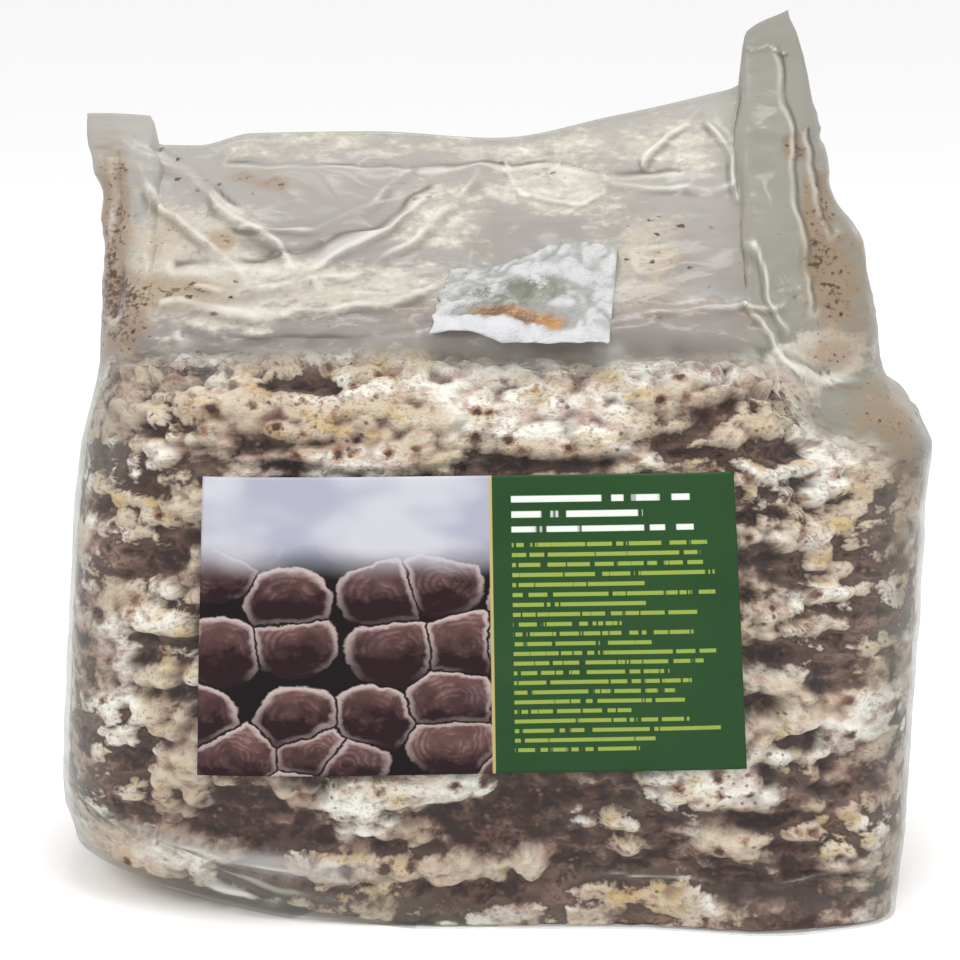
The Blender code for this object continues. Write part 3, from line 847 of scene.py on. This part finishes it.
def film_points():
    """The rings of the film from the base up to its closed edge, with their relief."""
    levels = np.concatenate((np.linspace(0, FILM_FOOT_SHARE, FILM_FOOT_LEVELS),
                             np.linspace(FILM_FOOT_SHARE, 1, FILM_BODY_LEVELS)[1:],
                             np.linspace(1, 2, FILM_HEAD_LEVELS)[1:]))
    rings = np.array([ring_of(level, FILM_SPANS) for level in levels])
    along = np.roll(rings, -1, axis=1) - np.roll(rings, 1, axis=1)
    upward = np.gradient(rings, axis=0)
    normal = np.cross(along, upward)
    normal /= np.linalg.norm(normal, axis=2, keepdims=True) + 1e-9
    flat = rings.reshape(-1, 3)
    out, line, head = film_relief(flat)
    moved = flat + normal.reshape(-1, 3) * out[:, None]
    return moved.reshape(rings.shape), line, head


def zipped_faces(first, second, points):
    """Triangles between two rows of points that run the same way and share their ends."""
    faces, a, b = [], 0, 0
    while a < len(first) - 1 or b < len(second) - 1:
        first_done, second_done = a == len(first) - 1, b == len(second) - 1
        if second_done or (not first_done
                           and points[first[a + 1]][0] <= points[second[b + 1]][0]):
            face = (first[a], first[a + 1], second[b])
            a += 1
        else:
            face = (first[a], second[b + 1], second[b])
            b += 1
        if len(set(face)) == 3:
            faces.append(face)
    return faces


def make_film(material):
    rings, line, head = film_points()
    count = rings.shape[1]
    inner = rings[0] * (FILM_BASE_INSET, FILM_BASE_INSET, 1.0)
    inner[:, 2] = np.maximum(inner[:, 2] - FILM_BASE_STEP, 0.0)
    middle = inner * (0.5, 0.5, 0.0)
    rows = [middle, inner, *rings]
    points = np.concatenate(rows + [[(0.0, 0.0, 0.0)]])
    faces = lofted_faces(len(rows), count)
    for k in range(count):
        faces.append(((k + 1) % count, k, len(points) - 1))
    last, front = (len(rows) - 1) * count, FILM_SPANS[0]
    ends = [last, last + front]
    behind = list(range(last + count - 1, last + front, -1))
    faces += zipped_faces(list(range(last, last + front + 1)), [ends[0], *behind, ends[1]], points)
    made = mesh_object("film", points, faces, material)
    for name, marks in zip(FILM_NUMBERS, (HAZE_MARKS, FILM_GROWN_MARKS, STAIN_MARKS)):
        keep_numbers(made, name, soft_marks(points, marks))
    for name, numbers in (("crease", line), ("head", head)):
        keep_numbers(made, name, np.concatenate((np.zeros(2 * count), numbers, [0.0])))
    keep_numbers(made, "rim", ease((np.abs(points[:, 0]) - 108) / 20))
    return made


# %% [markdown]
# The film's material mixes three things: what is seen through it, a thin skin of dew,
# mycelium and stains on its inside, and the shine on its outside. Where film is folded
# double it is whiter, and the creases also carry painted highlight on their crests and
# painted shade in their valleys and just below them, tinted into the skin.

# %% Colours of the film
FILM_GREY = (0.300, 0.285, 0.255)
FILM_MAUVE = (0.195, 0.174, 0.162)
FILM_EAR = (0.192, 0.184, 0.152)
FILM_GROWTH = (0.390, 0.360, 0.300)
FILM_PALE = (0.560, 0.545, 0.500)
FILM_SHADE = (0.130, 0.112, 0.098)
FILM_TAN = (0.215, 0.140, 0.075)
FILM_DIM = (0.105, 0.104, 0.086)
FILM_FOLD_SHADE = (0.085, 0.072, 0.060)
FILM_DEW = (0.380, 0.362, 0.355)
FILM_BITS = (0.050, 0.016, 0.005)


def film_tree(material):
    """Keeps the broad fields of the film's skin, by the marks on it and by clouds."""
    tree, _, (mesh_in,) = new_geometry_tree("film_skin", ())
    place = add_node(tree, "GeometryNodeInputPosition", {}, {})
    haze, grown, stain = (named_number(tree, name) for name in FILM_NUMBERS)
    crease, head, rim = (named_number(tree, name) for name in ("crease", "head", "rim"))
    patchy = cloud(place, 36, 15, detail=4, shift=27.0, rough=0.62)
    dew = cloud(place, 30, 9, detail=3, shift=21.0, rough=0.6).between(0.46, 0.70)
    bitty = cloud(place, 34, 22, detail=3, shift=35.0) + stain * 0.25
    skin = grown + (patchy - 0.5) * 1.6 - rim * (1.0 - head) * 0.9
    kept = keep_fields(mesh_in, "skin", (head, skin, crease))
    dew = dew * (rim * 0.30 + 0.06) + rim * 0.38 + haze
    bitty = (bitty + rim * 0.06).between(0.54, 0.66)
    kept = keep_fields(kept, "soil", (dew, stain, bitty))
    close_tree(kept, material)
    return tree


def make_film_material():
    made, tree = new_material("clear_film")
    place = add_node(tree, "ShaderNodeTexCoord", {}, {}, out="Object")
    head, skin, crease = parts_of(kept_on_points(tree, "skin"))
    dew, stain, bitty = parts_of(kept_on_points(tree, "soil"))
    fine = cloud(place, 9, 3.4, detail=3, shift=41.0, rough=0.64)
    grain = cloud(place, 2.2, 1.4, detail=2, shift=43.0, rough=0.6)
    grown = (skin + (fine - 0.5) * 1.1 + (grain - 0.5) * 0.35).between(0.05, 0.55) * head
    lights = fine + (grain - 0.5) * 0.6
    x, _, z = parts_of(place)
    rise = (z / MM + skin * 12.0).between(172, 238)
    ear = (x / MM).between(70, 84)
    wash = (stain + (fine - 0.5) * 1.1 - 0.20).between(0.0, 0.50)
    crumbs = (stain * 0.7 + (grain - 0.5) * 2.0 + (fine - 0.5) * 1.6 - 0.60).between(0.0, 0.45)
    bits = cells(place, 7.5, 5.0, shift=31.0) + (fine - 0.5) * 0.6 + (grain - 0.5) * 0.4
    bits = (bits.between(0.15, 0.07) * bitty * (0.35 + head * 0.65)).most(crumbs * 0.9)
    headspace = layered(FILM_MAUVE, (rise, FILM_GREY), (ear, FILM_EAR))
    # The crease marks paint the skin pale on crests, partly folded haze and partly painted highlight,
    # and dark in valleys as painted shade.
    colour = layered(FILM_DIM, (skin.clamp(), FILM_DEW), (head, headspace), (grown, FILM_GROWTH),
                     (lights.between(0.50, 0.80) * grown * 0.60, FILM_PALE),
                     (lights.between(0.48, 0.26) * grown * 0.50, FILM_SHADE),
                     (wash * (0.45 + grain * 0.4), FILM_TAN), (bits, FILM_BITS),
                     (crease.clamp() * 0.75, FILM_PALE), ((-crease).clamp() * 0.85, FILM_FOLD_SHADE))
    cover = dew + 0.02 + head * (0.64 + grown * 0.25)
    cover = (cover + wash * 0.35 + crease.math("ABSOLUTE") * 0.60).clamp()
    cover = cover.most(bits * 0.9)

    bump = bumped(fine, 0.6, 0.6)
    sheet = surface(tree, colour, 0.5, Normal=bump, Specular_IOR_Level=0.2)
    clear = add_node(tree, "ShaderNodeBsdfTransparent", {}, {"Color": (0.99, 0.99, 0.98, 1.0)})
    hazy = add_node(tree, "ShaderNodeMixShader", {}, {0: cover, 1: clear, 2: sheet})
    shine = add_node(tree, "ShaderNodeBsdfGlossy", {},
                     {"Color": (1.0, 1.0, 1.0, 1.0), "Roughness": 0.14, "Normal": bump})
    mirror = add_node(tree, "ShaderNodeFresnel", {}, {"IOR": 1.32, "Normal": bump})
    mirror = mirror.least(0.35) * (0.9 - head * 0.4)
    return close_material(made, add_node(tree, "ShaderNodeMixShader", {},
                                         {0: mirror, 1: hazy, 2: shine}))


clear_film = make_film_material()
film = apply_tree(make_film(clear_film), film_tree(clear_film), {})
film.visible_shadow = False
film.visible_diffuse = False
print("film:", len(film.data.polygons), "faces")

# %% [markdown]
# ## Sheets on the front
# The patch and the label lie on the film and follow its form. Each is a fine grid laid on
# the front by reading the depth of the bag at every place, then given a thin edge.

# %% Lay a sheet on the front
def front_y(x, z):
    """Depth of the smooth front at one place, in mm."""
    low, high = float(read_curve(SHOULDER, x)), float(read_curve(TOP_EDGE, x))
    level = z / low if z <= low else 1 + (z - low) / (high - low)
    left, right, depth, square_left, square_right = level_sizes(level)
    middle = (left + right) / 2
    square = square_left if x < middle else square_right
    reach = min(abs(x - middle) / ((right - left) / 2), 1.0)
    y = -depth * (1 - reach ** square) ** (1 / square)
    return float(place_points(np.array([x]), np.array([y]), level)[0, 1])


def between_corners(corners, across, up):
    """X and Z inside four corners: bottom left and right, then top left and right."""
    (ax, az), (bx, bz), (cx, cz), (dx, dz) = corners
    x = (ax + (bx - ax) * across) * (1 - up) + (cx + (dx - cx) * across) * up
    z = (az + (bz - az) * across) * (1 - up) + (cz + (dz - cz) * across) * up
    return x, z


def lay_sheet(name, outline, size, lift, thick, material, relief):
    """A closed thin sheet on the front, with an outline and a relief given as functions."""
    columns, rows = size
    across, up = np.meshgrid(np.linspace(0, 1, columns + 1), np.linspace(0, 1, rows + 1))
    x, z = outline(across, up)
    y = np.vectorize(front_y)(x, z)
    here = np.stack((x, y, z), axis=2)
    normal = np.cross(np.gradient(here, axis=1), np.gradient(here, axis=0))
    normal /= np.linalg.norm(normal, axis=2, keepdims=True)
    raised = relief(across, up)[:, :, None]
    back = here + normal * (lift + raised)
    face = back + normal * thick
    points = np.concatenate((face.reshape(-1, 3), back.reshape(-1, 3)))
    wide, shift = columns + 1, (columns + 1) * (rows + 1)
    faces = []
    for r in range(rows):
        for c in range(columns):
            k = r * wide + c
            faces.append((k, k + 1, k + wide + 1, k + wide))
            faces.append((shift + k, shift + k + wide, shift + k + wide + 1, shift + k + 1))
    rim = list(range(columns)) + [columns + wide * r for r in range(rows)]
    rim += [rows * wide + columns - c for c in range(columns)]
    rim += [wide * (rows - r) for r in range(rows)]
    for a, b in zip(rim, rim[1:] + rim[:1]):
        faces.append((shift + a, shift + b, b, a))
    made = mesh_object(name, points, faces, material)
    keep_numbers(made, "raised", np.tile(raised.ravel(), 2))
    layer = made.data.uv_layers.new(name="sheet")
    uv = np.tile(np.column_stack((across.ravel(), up.ravel())), (2, 1))
    corner_points = np.empty(len(made.data.loops), dtype=np.int32)
    made.data.loops.foreach_get("vertex_index", corner_points)
    layer.data.foreach_set("uv", uv[corner_points].astype(np.float32).ravel())
    return made


# %% The breathing patch
PATCH_CORNERS = [(-15, 178.5), (37.5, 175.5), (-9, 195.5), (41.5, 199)]
PATCH_STAIN = (0.130, 0.050, 0.012)
PATCH_AMBER = (0.330, 0.165, 0.050)
PATCH_DAMP = (0.120, 0.126, 0.085)
FLEECE_LIGHT = (0.44, 0.44, 0.44)
FLEECE_GREY = (0.22, 0.22, 0.205)
FLEECE_VALLEY_SHADE = (0.16, 0.16, 0.145)
FLEECE_LIP_HIGHLIGHT = (0.50, 0.50, 0.52)
PILLOW_MM, PATCH_RISE_MM = 1.6, 0.9
PATCH_GRID, PATCH_LIFT, PATCH_THICK = (90, 54), 1.3, 0.35


def bent_noise(across, up, columns, rows, shift):
    """Noise from -1 to 1 over a sheet, with that many patches across and up."""
    read = np.vectorize(lambda a, b: noise.noise(Vector((a * columns, b * rows, shift))))
    return read(across, up)


def patch_outline(across, up):
    """The fleece is bulged at its top right, wavy along its foot and frayed on its left."""
    x, z = between_corners(PATCH_CORNERS, across, up)
    bulge = np.exp(-(((across - 0.76) / 0.24) ** 2))
    dip = np.exp(-(((across - 0.2) / 0.2) ** 2))
    z = z + up * (2.8 * bulge - 1.6 * dip)
    z = z + (1 - up) * 1.0 * np.sin(2 * math.pi * across * 0.95)
    x = x + (1 - across) * 2.2 * bent_noise(across * 0, up, 1, 6, 3.0)
    return x, z


def patch_relief(across, up):
    """A pillowed middle with a sharp fold round it, crumples, and a lip along the foot, in mm."""
    held = np.sin(math.pi * across) * np.sin(math.pi * up)
    crumple = np.abs(bent_noise(across, up, 6, 4, 6.0))
    crumple = crumple + 0.5 * np.abs(bent_noise(across, up, 14, 9, 8.0))
    lip = np.exp(-((up / 0.12) ** 2)) * (1.4 + np.sin(across * 9))
    slump = np.exp(-(((up - 0.30 + 0.10 * across) / 0.09) ** 2))
    slump = slump * ease(across / 0.2) * ease((0.85 - across) / 0.1)
    arch = np.exp(-(((up - 0.75 + 1.6 * (across - 0.6) ** 2) / 0.07) ** 2))
    return (PILLOW_MM * held + 2.2 * crumple + 1.5 * lip - 1.3 * slump + 0.9 * arch
            + PATCH_RISE_MM)


def make_fleece():
    made, tree = new_material("fleece")
    across, up, _ = parts_of(add_node(tree, "ShaderNodeUVMap", {"uv_map": "sheet"}, {}))
    place = add_node(tree, "ShaderNodeTexCoord", {}, {}, out="Object")
    fibres = cloud(place, 1.1, 0.8, detail=2, shift=1.0, rough=0.6)
    mottle = cloud(place, 7, 4.5, detail=3, shift=3.0, rough=0.6)
    damp = cloud(place, 16, 8, detail=3, shift=9.0)
    speckle = mottle + (fibres - 0.5) * 0.35
    raised = kept_on_points(tree, "raised", out="Fac")
    swell = (across * math.pi).math("SINE") * (up * math.pi).math("SINE")
    # Darker where the relief sinks below the pillowed middle: painted shade in the fleece's crumples.
    valley_shade = (raised - swell * PILLOW_MM - PATCH_RISE_MM).between(0.75, 0.10)
    away = ((across - 0.46) / 0.32) ** 2.0 + ((up - 0.52) / 0.20) ** 2.0
    middle = (1.25 - away + (damp - 0.5) * 1.5).clamp()
    slope = up - 0.30 + across * 0.10 + (damp - 0.5) * 0.22 + (mottle - 0.5) * 0.16
    wet = slope.between(-0.09, -0.04) * slope.between(0.10, 0.03) * across.between(0.15, 0.24)
    wet = wet * across.between(0.80, 0.70)
    amber = blend(speckle.between(0.40, 0.66), PATCH_STAIN, PATCH_AMBER)
    # The lowest band of the fleece, where its lip curls out, is painted lighter as a painted
    # highlight.
    colour = layered(FLEECE_LIGHT, (speckle.between(0.40, 0.70) * 0.6, FLEECE_GREY),
                     (valley_shade * 0.55, FLEECE_VALLEY_SHADE), (up.between(0.20, 0.10) * 0.7, FLEECE_LIP_HIGHLIGHT),
                     (middle * speckle.between(0.30, 0.56) * 0.9, PATCH_DAMP),
                     (wet * (0.65 + mottle * 0.5).clamp(), amber))
    bump = bumped(fibres * 0.7 + mottle * 1.4, 0.8, 0.9)
    return close_material(made, surface(tree, colour, 0.9 - wet * 0.6, Normal=bump))


patch = lay_sheet("breathing_patch", patch_outline, PATCH_GRID, PATCH_LIFT, PATCH_THICK,
                  make_fleece(), patch_relief)
print("patch:", len(patch.data.polygons), "faces")

# %% [markdown]
# The label is coated paper behind the film's shine. Its left panel carries a generic
# picture of cut logs under a pale sky, and its right panel stands for small print with
# plain dashes. There is no lettering on it.

# %% The label
LABEL_CORNERS = [(-84, 49), (79, 52), (-81, 139), (74, 141)]
LABEL_WIDE, LABEL_HIGH = 158.0, 88.0
LABEL_SPLIT = 86.0
LABEL_GRID, LABEL_LIFT, LABEL_THICK = (150, 84), 0.6, 0.3
LABEL_GREEN = (0.012, 0.042, 0.012)
LABEL_INK = (0.230, 0.300, 0.055)
LABEL_WHITE = (0.600, 0.620, 0.580)
LABEL_SKY = (0.310, 0.315, 0.385)
LABEL_GOLD = (0.380, 0.310, 0.120)
LABEL_GREEN_LIT = (0.020, 0.062, 0.020)
LABEL_CLOUD = (0.44, 0.44, 0.48)
LOG_WIDE = 22.0
LOG_DARK = (0.016, 0.006, 0.008)
LOG_LIT = (0.150, 0.075, 0.070)
LOG_RINGS = (0.330, 0.220, 0.205)
LOG_BARK = (0.400, 0.320, 0.300)
LOG_GAPS = (0.006, 0.003, 0.004)
SKY_FROM, SKY_TO = 58.0, 70.0
HEADING_PITCH, ROW_PITCH = 4.4, 2.9
PRINT_LEFT, PRINT_RIGHT, PRINT_RAGGED = 91.5, 151.0, 30.0


def label_outline(across, up):
    return between_corners(LABEL_CORNERS, across, up)


def label_relief(across, up):
    """The label lies flat but for the slight waves of the film under it."""
    return 0.35 * bent_noise(across, up, 5, 4, 2.0) + 0.3


def log_picture(tree, wide, high):
    """Log ends side by side: dark hearts, growth rings and pale bark rims."""
    spot = add_node(tree, "ShaderNodeCombineXYZ", {},
                    {"X": wide / LOG_WIDE, "Y": high / (LOG_WIDE * 0.8), "Z": 0.0})
    shake = add_node(tree, "ShaderNodeTexNoise", {},
                     {"Vector": spot, "Scale": 3.0, "Detail": 4.0, "Roughness": 0.6}, out="Color")
    shaken = add_node(tree, "ShaderNodeVectorMath", {"operation": "MULTIPLY_ADD"},
                      {0: shake, 1: (0.22, 0.22, 0.0), 2: spot})
    logs = {"Vector": shaken, "Scale": 1.0, "Randomness": 0.70}
    away, kind, heart, border = (
        add_node(tree, "ShaderNodeTexVoronoi", {"voronoi_dimensions": "2D", "feature": feature},
                 logs, out=out)
        for feature, out in (("F1", "Distance"), ("F1", "Color"), ("F1", "Position"),
                             ("DISTANCE_TO_EDGE", "Distance")))
    rough, soft, _ = parts_of(shake)
    age, shade, _ = parts_of(kind)
    lit = parts_of(shaken)[1] - parts_of(heart)[1]
    inside = (0.57 + age * 0.10 - away).least(border * 1.4)
    rings = ((away * (8.0 + shade * 5.0) + rough * 2.4) * (2 * math.pi)).math("SINE") * 0.5 + 0.5
    glow = (lit * 1.1 + shade * 0.5 + (rough - 0.5) * 1.2).clamp()
    bark = inside.between(0.15, 0.05) * (0.25 + lit + rough * 0.5).clamp()
    return layered(LOG_DARK, (glow, LOG_LIT),
                   (rings * soft.between(0.42, 0.60) * 0.5 * glow, LOG_RINGS), (bark, LOG_BARK),
                   (inside.between(0.04, 0.008), LOG_GAPS))


def dashes(tree, wide, high, pitch, share, word):
    """Rows of plain dashes, with ragged right ends and gaps between the dashes."""
    row = high / pitch
    number = row.math("FLOOR")
    part = row.math("FRACT")
    inside = part.between(0.20, 0.26) * part.between(0.26 + share, 0.20 + share)
    chance = add_node(tree, "ShaderNodeTexWhiteNoise", {"noise_dimensions": "1D"}, {"W": number})
    ends = (wide - (PRINT_RIGHT - chance * chance * PRINT_RAGGED)).between(0.1, -0.1)
    spot = add_node(tree, "ShaderNodeCombineXYZ", {},
                    {"X": wide / word + chance * 7.0, "Y": number * 7.3, "Z": 0.0})
    gaps = add_node(tree, "ShaderNodeTexNoise", {},
                    {"Vector": spot, "Scale": 1.6, "Detail": 2.0}).between(0.40, 0.44)
    return inside * ends * gaps * wide.between(PRINT_LEFT, PRINT_LEFT + 0.3)


def make_print():
    made, tree = new_material("printed_label")
    uv = add_node(tree, "ShaderNodeUVMap", {"uv_map": "sheet"}, {})
    across, up, _ = parts_of(uv)
    wide, high = across * LABEL_WIDE, up * LABEL_HIGH
    soft = add_node(tree, "ShaderNodeTexNoise", {}, {"Vector": uv, "Scale": 4.0, "Detail": 2.0})

    sky = blend(soft.between(0.4, 0.6), LABEL_SKY, LABEL_CLOUD)
    left = layered(log_picture(tree, wide, high),
                   ((high + (soft - 0.5) * 10.0).between(SKY_FROM, SKY_TO), sky),
                   ((wide - (LABEL_SPLIT - 0.9)).between(-0.2, 0.2), LABEL_GOLD))

    heading = dashes(tree, wide, high, HEADING_PITCH, 0.42, 9.0) * high.between(71.5, 71.7)
    heading = heading * high.between(84.5, 84.3)
    small = dashes(tree, wide, high, ROW_PITCH, 0.40, 4.0) * high.between(69.5, 69.3)
    small = small * high.between(5.0, 5.2)
    right = layered(LABEL_GREEN, (soft, LABEL_GREEN_LIT), (small, LABEL_INK),
                    (heading, LABEL_WHITE))
    colour = blend((wide - LABEL_SPLIT).between(-0.1, 0.1), left, right)
    return close_material(made, surface(tree, colour, 0.38, Specular_IOR_Level=0.12))


label = lay_sheet("label_sheet", label_outline, LABEL_GRID, LABEL_LIFT, LABEL_THICK,
                  make_print(), label_relief)
print("label:", len(label.data.polygons), "faces")

# %% The floor
FLOOR_REACH = 6000
FLOOR_COLOUR = (0.92, 0.92, 0.92, 1.0)


def make_floor():
    made, tree = new_material("pale_floor")
    close_material(made, surface(tree, FLOOR_COLOUR, 0.9))
    corners = [(FLOOR_REACH * x, FLOOR_REACH * y, 0) for x, y in ((-1, -1), (1, -1), (1, 1), (-1, 1))]
    floor = mesh_object("floor", corners, [(0, 1, 2, 3)], made, smooth=False)


make_floor()

# %% Ride, replace and finish
for piece, node, slot in ((block, "mycelium_block", "grown_sawdust"), (film, "bag", "clear_film"),
                          (patch, "filter_patch", "fleece"), (label, "label", "printed_label")):
    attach(piece, "root")
    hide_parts(node)
